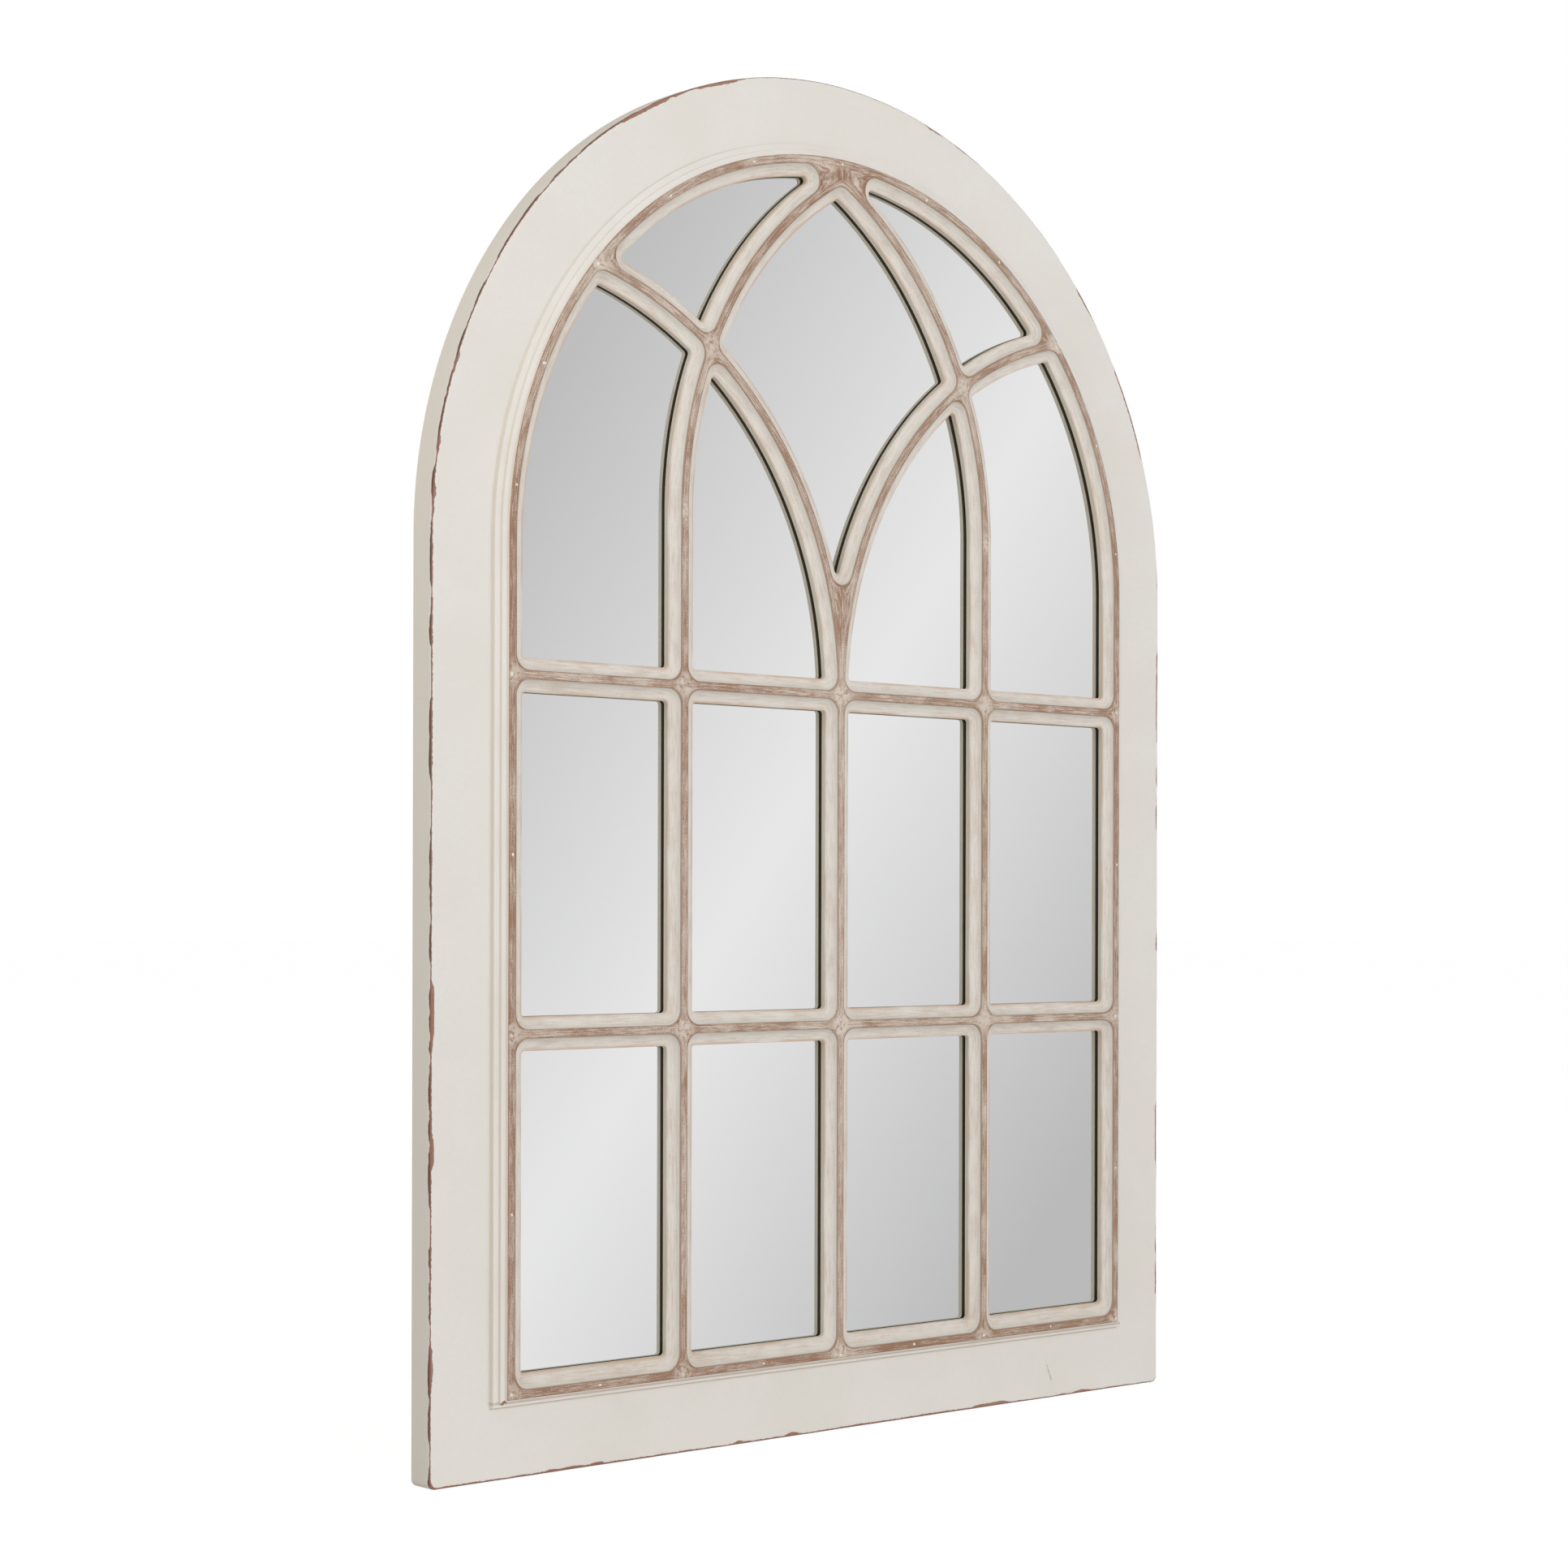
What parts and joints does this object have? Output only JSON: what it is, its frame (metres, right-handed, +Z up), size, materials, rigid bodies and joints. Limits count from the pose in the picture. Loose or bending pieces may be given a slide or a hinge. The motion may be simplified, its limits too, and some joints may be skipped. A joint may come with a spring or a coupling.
{
  "type": "arched window mirror",
  "caption": "Arched wall mirror: distressed painted board frame, routed window tracery panel over a mirror sheet, backing board and swinging D-ring hangers.",
  "frame": {"origin": "on the wall plane, half way between the pins of the two D-ring hangers", "axes": "+X to the viewer's right, +Y into the wall, +Z up; the glass faces -Y"},
  "size_m": [0.7112, 0.037, 0.9816],
  "materials": {
    "painted_board": "cream milk paint on fibreboard, rubbed through to brown along the arris",
    "washed_panel": "whitewashed routed fibreboard, brown showing on the crests",
    "silvered_glass": "clear float glass, silvered back",
    "beech_dowel": "fluted beech",
    "steel_brad": "bright steel, heads filled",
    "foam_tape": "closed-cell foam tape",
    "hardboard": "brown hardboard, smooth side out",
    "zinc_steel": "bright zinc plate",
    "black_rubber": "matt moulded rubber"
  },
  "bodies": {
    "mirror": {"frame_stile_left": "painted_board", "frame_stile_right": "painted_board", "frame_bottom_rail": "painted_board", "frame_arch_left": "painted_board", "frame_arch_right": "painted_board", "tracery_panel": "washed_panel", "mirror_glass": "silvered_glass", "frame_dowels": "beech_dowel", "panel_brads": "steel_brad", "glazing_tape_left": "foam_tape", "glazing_tape_right": "foam_tape", "glazing_tape_bottom": "foam_tape", "glazing_tape_arch": "foam_tape", "backing_board": "hardboard", "backing_screws": "zinc_steel", "hanger_strap_left": "zinc_steel", "hanger_strap_right": "zinc_steel", "hanger_screws_left": "zinc_steel", "hanger_screws_right": "zinc_steel", "bumper_low_left": "black_rubber", "bumper_low_right": "black_rubber", "bumper_head_left": "black_rubber", "bumper_head_right": "black_rubber"},
    "ring_left": {"d_ring_left": "zinc_steel"},
    "ring_right": {"d_ring_right": "zinc_steel"}
  },
  "joints": [
    {"name": "ring_left_swing", "type": "hinge", "parent": "mirror", "child": "ring_left", "pos_m": [-0.32815, -0.00327, 0], "axis": [1, 0, 0], "range_deg": [0, 174]},
    {"name": "ring_right_swing", "type": "hinge", "parent": "mirror", "child": "ring_right", "pos_m": [0.32815, -0.00327, 0], "axis": [1, 0, 0], "range_deg": [0, 174]}
  ]
}
